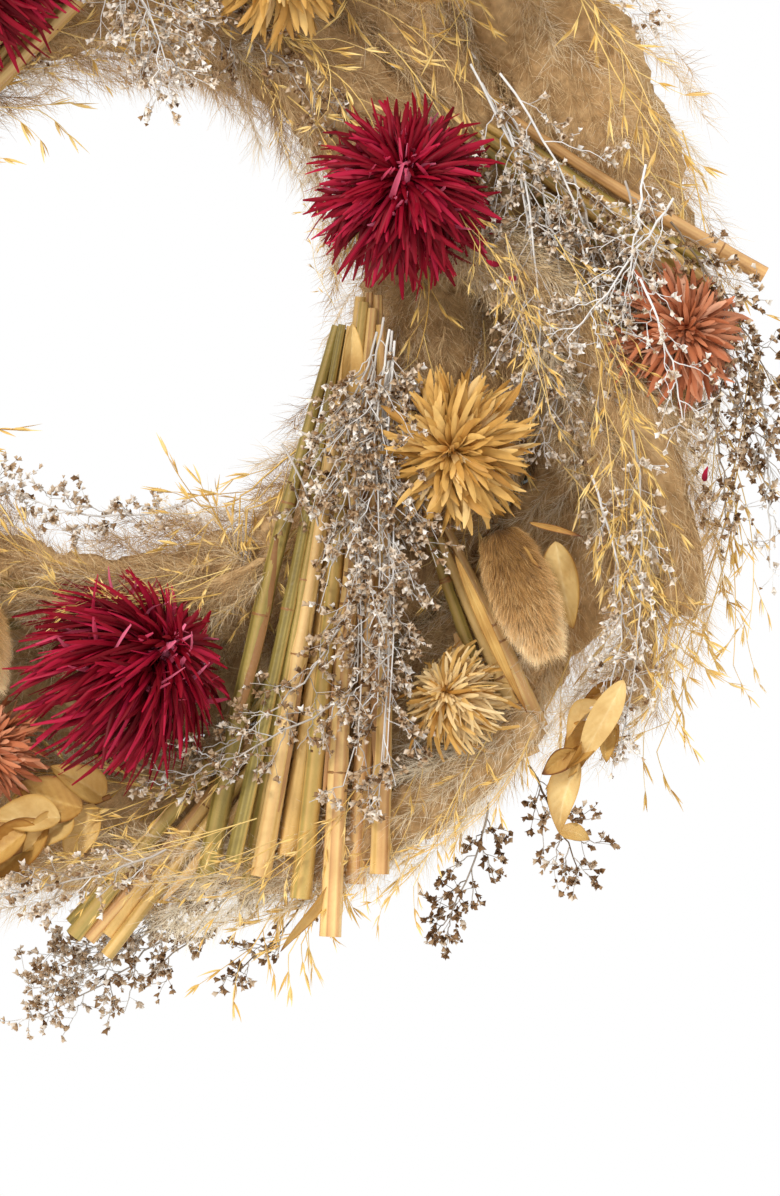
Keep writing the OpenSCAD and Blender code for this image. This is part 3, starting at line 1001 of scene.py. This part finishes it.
def floret_points(centres, headings, size, rng):
    """Tiny papery bells with ragged lobes: (n, rows, columns, 3)."""
    n = len(centres)
    side = unit(np.cross(headings, random_units(rng, n)))
    up = np.cross(headings, side)
    a = np.arange(6) * math.pi / 3
    ring = side[:, None] * np.cos(a)[:, None] + up[:, None] * np.sin(a)[:, None]
    lobes = np.where(np.arange(6) % 2, 0.0, 0.34) * rng.uniform(0.5, 1.2, (n, 6))
    rows = []
    for height, width, lobe in ((0.0, 0.12, 0), (0.5, 0.3, 0), (0.78, 0.42, 1)):
        r = size[:, None] * (width + 0.6 * lobe * lobes)
        rise = size[:, None] * (height + lobe * lobes)
        rows.append(centres[:, None] + headings[:, None] * rise[..., None] + ring * r[..., None])
    return np.stack(rows, axis=1)


def crooked(paths, rng, amount):
    """Paths (n, k, 3) whose inner points are shaken a little."""
    bow = np.sin(math.pi * shares(paths)) ** 0.5
    return paths + rng.normal(0, amount, paths.shape) * bow


def tones(rng, middle, spread, count):
    """Places on a look's shades, scattered round a middle one."""
    return np.clip(middle + rng.normal(0, spread, count), 0.02, 0.98)


def caspia(twigs, florets, path, rng, reach, pale, branches=14, sprigs=5, per=5):
    """One caspia spray: a stem, side branches, thin sprigs on them and florets on those.
    Pale runs from 0 for brown to 1 for bleached white."""
    bark = tones(rng, 0.25 + 0.75 * pale, 0.14, branches + 1)
    path = crooked(path[None], rng, 0.45)[0]
    twigs.tubes(path[None], np.linspace(0.42, 0.2, len(path))[None], bark[:1], 5)
    share = np.linspace(0.1, 1.0, branches)
    root, along = resample(path, share)
    side = unit(np.cross(along, FRONT)) * np.where(np.arange(branches) % 2, 1, -1)[:, None]
    heading = unit(along * rng.uniform(0.5, 1.1, (branches, 1))
                   + side * rng.uniform(0.3, 1.1, (branches, 1))
                   + FRONT * rng.uniform(-0.15, 0.35, (branches, 1)))
    swell = 0.5 + 0.55 * np.sin(math.pi * share[:, None])
    length = reach * rng.uniform(0.55, 1.05, (branches, 1)) * swell
    tip = root + heading * length + along * length * 0.3
    bend = root + heading * length * 0.55 + random_units(rng, branches) * length * 0.12
    stems = crooked(bezier(root, bend, tip, 8), rng, 0.4)
    twigs.tubes(stems, each(branches, np.linspace(0.22, 0.12, 8)), bark[1:], 4)
    for stem in stems:
        base, ahead = resample(stem, rng.uniform(0.2, 1.0, sprigs))
        out = unit(ahead + 1.0 * random_units(rng, sprigs))
        end = base + out * rng.uniform(3, 9, (sprigs, 1))
        thin = bezier(base, (base + end) / 2 + random_units(rng, sprigs) * 0.8, end, 5)
        bark_here = tones(rng, 0.25 + 0.75 * pale, 0.16, sprigs)
        twigs.tubes(thin, np.full((sprigs, 5), 0.11), bark_here, 3)
        which = np.repeat(np.arange(sprigs), per)
        centre = thin[which, rng.integers(2, 5, len(which))] + random_units(rng, len(which)) * 0.5
        face = unit(out[which] + 0.9 * random_units(rng, len(which)))
        scale = rng.uniform(0.9, 2.2, len(which))
        tone = tones(rng, 0.06 + 0.8 * pale, 0.26, len(which))
        florets.grids(floret_points(centre, face, scale, rng), tone[:, None, None],
                      np.linspace(0, 1, 3)[None, :, None], closed=True)


CASPIA_NODES = {
    1: dict(pale=0.55, count=8, reach=23, spread=1.4, right=9.0),
    2: dict(pale=0.72, count=5, reach=22),
    3: dict(pale=0.7, count=1, reach=7),
    4: dict(pale=0.75, count=4, reach=12),
    5: dict(pale=0.7, count=4, reach=24),
    6: dict(pale=0.6, count=4, reach=24),
    7: dict(pale=0.5, count=4, reach=24),
}


def caspia_node(number, rng):
    """The sprays that stand for one CAD spray."""
    name = f"caspia_spray_{number}"
    style = CASPIA_NODES[number]
    sweep = node_sweep(name)
    twigs, florets = Shape(), Shape()
    steps = np.linspace(0, 1, 14)
    for _ in range(style["count"]):
        share = rng.uniform(-0.08, 0.12) + 0.9 * steps
        spread = style.get("spread", 2.2) * (style["count"] > 1)
        wander = rng.uniform(-spread, spread) * (0.3 + 0.7 * steps)
        path = sweep.place(share, 0 * share, wander, 0.8)
        path = path + FRONT * (rng.uniform(-2, 5) + 4 * np.sin(math.pi * steps))[:, None]
        path[:, 0] += style.get("right", 0.0)
        caspia(twigs, florets, path, rng, style["reach"], style["pale"] + rng.uniform(-0.15, 0.15))
    twigs.piece(f"caspia_stems_{number:02d}", LOOKS["twig"], "caspia", [name])
    florets.piece(f"caspia_florets_{number:02d}", LOOKS["floret"], "caspia")


SPRIG_GROUP = 10
SPRIGS = [
    (178, 10, 143, -5, -80, 0.97, 16, 9, 1),
    (172, 14, 160, -2, -76, 0.95, 14, 9, 2),
    (165, 2, 182, -12, -84, 0.97, 10, 8, 2),
    (165, 13, 168, -3, -66, 0.4, 12, 14, 5),
    (150, 15, 160, 0, -64, 0.45, 12, 14, 5),
    (177, 8, 208, -7, -60, 0.3, 13, 14, 5),
    (190, -2, 212, -14, -56, 0.3, 14, 14, 5),
    (186, -6, 205, -20, -60, 0.4, 11, 10, 4),
    (206, -8, 223, -22, -50, 0.9, 8, 7, 1),
    (168, -14, 211, -41, -70, 0.9, 9, 14, 3),
    (160, -20, 202, -40, -66, 0.8, 9, 12, 3),
    (144, -58, 152, -84, -70, 0.5, 14, 14, 4),
    (120, -50, 146, -78, -66, 0.4, 12, 12, 4),
    (172, -72, 212, -87, -44, 0.2, 9, 8, 4),
    (180, -66, 216, -80, -40, 0.3, 9, 8, 4),
    (197, -53, 222, -62, -44, 0.12, 12, 10, 5),
    (196, -48, 230, -50.5, -44, 0.2, 11, 10, 4),
    (172, -84, 192, -104, -74, 0.6, 12, 14, 5),
    (70, -40, 118, -52, -62, 0.45, 14, 10, 4),
    (150, 60, 190, 30, -62, 0.6, 16, 12, 4),
    (96, 80, 92, 40, -52, 0.4, 12, 12, 4),
    (176, 110, 205, 84, -50, 0.3, 14, 12, 5),
    (150, 128, 196, 108, -64, 0.8, 16, 12, 4),
    (96, 150, 84, 112, -52, 0.5, 12, 12, 4),
    (180, 165, 206, 140, -50, 0.25, 14, 12, 5),
    (150, 190, 204, 170, -64, 0.7, 16, 12, 4),
    (92, 215, 84, 180, -52, 0.4, 12, 12, 4),
    (182, 210, 208, 186, -50, 0.3, 14, 12, 5),
    (160, 245, 202, 225, -60, 0.6, 16, 12, 4),
]


def loose_sprigs(rng):
    """Sprigs tucked in between the larger plants. Each row of SPRIGS is a radius and angle at
    the root and at the tip, depth, paleness, reach, branches and florets on a twig."""
    steps = np.linspace(0, 1, 14)
    for number, first in enumerate(range(0, len(SPRIGS), SPRIG_GROUP), 1):
        twigs, florets = Shape(), Shape()
        for r0, a0, r1, a1, depth, pale, reach, branches, per in SPRIGS[first:first + SPRIG_GROUP]:
            r = r0 + (r1 - r0) * steps + rng.uniform(-3, 3) * np.sin(math.pi * steps)
            path = polar(r, a0 + (a1 - a0) * steps, depth - 3 * np.sin(math.pi * steps))
            caspia(twigs, florets, path, rng, reach, pale, branches, per=per)
        twigs.piece(f"sprig_stems_{number}", LOOKS["twig"], "caspia")
        florets.piece(f"sprig_florets_{number}", LOOKS["floret"], "caspia")


HUSK_BRANCHES = [
    (74, -82, 64, -76, -50), (70, 0, 68, 22, -56),
    (150, -2, 176, -26, -74), (140, 8, 168, -12, -74), (125, 10, 142, -14, -74),
    (112, 14, 134, -8, -74), (160, -10, 186, -28, -72), (170, -16, 198, -32, -70),
    (178, -20, 214, -36, -64), (196, -14, 226, -30, -50),
    (180, -50, 206, -64, -62), (176, -58, 202, -70, -62), (170, -62, 190, -78, -66),
    (188, -46, 198, -62, -64), (176, -72, 182, -90, -72), (168, -76, 176, -96, -72),
    (92, -66, 96, -92, -72), (98, -70, 92, -104, -72), (88, -76, 100, -98, -70),
    (150, -76, 170, -98, -60), (86, 120, 76, 98, -52), (170, 120, 204, 100, -52),
    (86, 180, 76, 158, -52), (172, 200, 206, 178, -52), (172, 240, 204, 222, -52),
    (86, 60, 74, 42, -52), (172, 60, 206, 40, -52), (172, 150, 208, 132, -52),
    (86, 236, 76, 214, -52),
]


def loose_husks(rng):
    """Golden branches between the plants. Each row of HUSK_BRANCHES is a radius and angle at
    the root and at the tip, and depth."""
    shape = Shape()
    steps = np.linspace(0, 1, 12)
    for r0, a0, r1, a1, depth in HUSK_BRANCHES:
        for _ in range(2):
            r = r0 + (r1 - r0) * steps + rng.uniform(-5, 5) * np.sin(math.pi * steps)
            path = polar(r, a0 + (a1 - a0) * steps + rng.uniform(-2, 2), depth - 4 * steps)
            size = min(1.0, 0.012 * np.linalg.norm(path[-1] - path[0])) + rng.uniform(-0.1, 0.1)
            panicle(shape, path, rng, branches=7, size=size)
    shape.piece("loose_husks", LOOKS["spikelet"], "spikelet")


FLECKS = [(122, 5), (127, 3), (119, 9), (194, -17), (150, 96), (170, 190)]


def pink_flecks(rng):
    """Stray bracts of the magenta heads, caught in the hair at radius and angle FLECKS."""
    places = np.array(FLECKS, float)
    base = polar(places[:, 0], places[:, 1], -71.0)
    heading = unit(random_units(rng, len(base)) + 0.4 * FRONT)
    paths = bezier(base, base + heading * 2 + random_units(rng, len(base)), base + heading * 5, 5)
    widths = each(len(base), [0.5, 0.9, 0.9, 0.6, 0.1])
    shape = Shape()
    faces = np.tile(FRONT, (len(base), 5, 1))
    shape.petals(paths, faces, widths, rng.uniform(0.6, 0.9, len(base)))
    shape.piece("pink_flecks", LOOKS["magenta"], "magenta_petals")


# ---------- frame, core and binding ----------

def core_ring():
    """Radius and depth of the core's middle line, and half the core's thickness."""
    low, high = node_box("stem_core")
    thick = (high[1] - low[1]) / 2
    return high[0] - thick, (low[1] + high[1]) / 2, thick


def stem_core(rng, stems=130):
    """Cut stems laid round the trough of the frame, and the round bundle under them."""
    ring, middle_y, thick = core_ring()
    s = np.linspace(0, 1, 12)[None]
    start = rng.uniform(0, 360, stems)[:, None]
    span = rng.uniform(40, 80, stems)[:, None]
    out = thick * rng.uniform(0.55, 0.86, stems)[:, None]
    spin = rng.uniform(0, 2 * math.pi, stems)[:, None] + 0.9 * s
    paths = polar(ring + out * np.cos(spin), start + span * s, middle_y + out * np.sin(spin))
    shape = Shape()
    shape.tubes(paths, rng.uniform(0.8, 1.3, (stems, 1)) * np.ones((1, 12)), rng.random(stems), 6)
    a = np.linspace(0, 360, 97)[None, :]
    inner = polar(np.full(a.shape, ring), a, middle_y)
    shape.tubes(inner, np.full(a.shape, thick * 0.72), np.array([0.2]), 12)
    loose_stems(shape, ring, rng)
    shape.piece("core_stems", LOOKS["core"], "core_stems", ["stem_core"])


def loose_stems(shape, ring, rng, stems=420):
    """Thin stems that lie over the trough behind the plumes and fill the frame's face."""
    s = np.linspace(0, 1, 10)[None]
    start = rng.uniform(0, 360, stems)[:, None]
    span = rng.uniform(25, 55, stems)[:, None]
    radius = ring + rng.uniform(-38, 34, stems)[:, None] + rng.normal(0, 5, stems)[:, None] * s
    depth = rng.uniform(-29, -20, stems)[:, None]
    paths = polar(radius, start + span * s, depth + 0 * s)
    shape.tubes(paths, rng.uniform(0.7, 1.1, (stems, 1)) * np.ones((1, 10)), rng.random(stems), 5)


BINDING_TURNS = 48
TURN_STEPS = 28
BINDING_RADIUS = 0.4


def binding():
    """One wire wound on and on round the core and the middle rings."""
    low, high = node_box("binding_wire")
    ring = core_ring()[0]
    half_w = high[0] - ring
    y, half_t = (low[1] + high[1]) / 2, (high[1] - low[1]) / 2
    t = np.linspace(0, 1, BINDING_TURNS * TURN_STEPS + 1)
    spin = 2 * math.pi * BINDING_TURNS * t
    squarish = 1 / (np.abs(np.cos(spin)) ** 3 + np.abs(np.sin(spin)) ** 3) ** (1 / 3)
    path = polar(ring + (half_w - BINDING_RADIUS) * squarish * np.cos(spin), 360 * t,
                 y + (half_t - BINDING_RADIUS) * squarish * np.sin(spin))
    shape = Shape()
    shape.tubes(path[None], np.full((1, len(t)), BINDING_RADIUS), np.array([0.5]), 6)
    shape.piece("binding_winding", LOOKS["binding"], "binding_wire", ["binding_wire"])


def paint(node, look):
    """Gives a CAD node that stays in view its material."""
    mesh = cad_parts[node].data
    mesh.materials.clear()
    mesh.materials.append(look)


# ---------- stage ----------

FRAME_CENTRE = np.array([87.5, -60.0, -93.0])
FRAME_HEIGHT = 374.0
CAMERA_DISTANCE = 2200.0
SENSOR = 36.0
CLIP_END = 50
KEY_PLACE = (-0.9, -1.6, 0.9)
KEY_TARGET = (0.05, 0, -0.22)
KEY_SIZE = 0.5
KEY_WATTS = 26
FLOOR_RADIUS = 1.4
FLOOR_HEIGHT = -0.78


def camera():
    """The photo's view. The frame's centre, height and distance are in millimetres."""
    data = bpy.data.cameras.new("camera")
    data.sensor_width = SENSOR
    data.lens = SENSOR * CAMERA_DISTANCE / FRAME_HEIGHT
    data.clip_end = CLIP_END
    cam = add_object("camera", data)
    cam.location = (FRAME_CENTRE + FRONT * CAMERA_DISTANCE) * MM + CENTRE
    cam.rotation_euler = (math.pi / 2, 0, 0)
    bpy.context.scene.camera = cam


def area_light(name, place, target, size, watts):
    """A round light at a place, turned to a target. Both are in metres."""
    data = bpy.data.lights.new(name, "AREA")
    data.shape = "DISK"
    data.size = size
    data.energy = watts
    light = add_object(name, data)
    light.location = place
    toward = Vector(target) - Vector(place)
    light.rotation_euler = toward.to_track_quat("-Z", "Y").to_euler()


def stage():
    """The white studio, a key light from the upper left and a pale floor below the wreath."""
    world = bpy.data.worlds.new("white_studio")
    world.use_nodes = True
    background = world.node_tree.nodes["Background"]
    background.inputs["Color"].default_value = (1, 1, 1, 1)
    background.inputs["Strength"].default_value = 1.0
    bpy.context.scene.world = world
    area_light("key", KEY_PLACE, KEY_TARGET, KEY_SIZE, KEY_WATTS)
    bpy.ops.mesh.primitive_circle_add(vertices=96, radius=FLOOR_RADIUS, fill_type="NGON",
                                      location=(0, 0, FLOOR_HEIGHT))
    floor = bpy.context.object
    floor.name = "floor"
    look = bpy.data.materials.new("pale_floor")
    look.use_nodes = True
    sockets = look.node_tree.nodes["Principled BSDF"].inputs
    sockets["Base Color"].default_value = (0.9, 0.9, 0.9, 1)
    sockets["Roughness"].default_value = 0.9
    floor.data.materials.append(look)
    bpy.context.scene.view_settings.view_transform = "Standard"


# ---------- the assembly ----------

seeded = np.random.default_rng

camera()
stage()

plumes = [f"plume_inner_{i}" for i in range(1, 6)] + [f"plume_outer_{i}" for i in range(1, 7)]
for number, name in enumerate(plumes, 1):
    plume(name, number, seeded(100 + number))
    plume_spikelets(name, number, seeded(200 + number))
for number in range(1, 6):
    free_spikelets(f"spikelet_spray_{number}", number, seeded(300 + number))
for number in range(1, 8):
    straw_bundle(f"straw_bundle_{number}", number, seeded(400 + number))
for number, name in enumerate(LEANS):
    flower(name, seeded(500 + number))
for number in TAIL_DIRECTIONS:
    bunny_tail(number, seeded(600 + number))
for number in LEAF_SPRIGS:
    leaf_cluster(number, seeded(700 + number))
for number in CASPIA_NODES:
    caspia_node(number, seeded(800 + number))
loose_plumes(seeded(870))
loose_sprigs(seeded(880))
loose_husks(seeded(890))
loose_leaves(seeded(893))
pink_flecks(seeded(895))
stem_core(seeded(900))
binding()
for node in ("frame_ring_inner", "frame_ring_mid_inner", "frame_ring_mid_outer",
             "frame_ring_outer", "frame_cross_wires"):
    paint(node, LOOKS["frame_wire"])
paint("hanging_loop", LOOKS["loop_wire"])
paint("flower_stems", LOOKS["core"])
